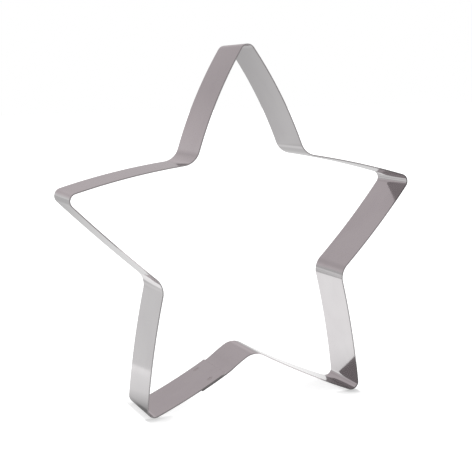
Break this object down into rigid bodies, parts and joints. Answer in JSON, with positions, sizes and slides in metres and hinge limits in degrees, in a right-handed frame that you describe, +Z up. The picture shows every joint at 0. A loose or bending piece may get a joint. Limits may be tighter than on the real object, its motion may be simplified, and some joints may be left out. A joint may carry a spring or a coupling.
{
  "type": "cookie cutter",
  "caption": "Star-shaped cookie cutter: a thin stainless steel strip on edge, bent round a star outline, with its ends lapped and spot-welded.",
  "frame": {"origin": "middle of the cutter's outline seen from above, on the surface that its two lower arms stand on", "axes": "+Z up through the top arm, +Y across the width of the strip from the front rim to the back rim, +X to the right seen from the front"},
  "size_m": [0.145, 0.025, 0.1448],
  "materials": {
    "strip_steel": "bright stainless steel strip, faintly brushed, with darker sheared rims",
    "weld_steel": "dished spot welds, slightly dulled by heat"
  },
  "bodies": {
    "root": {"cutter_strip": "strip_steel", "spot_welds": "weld_steel"}
  },
  "joints": []
}
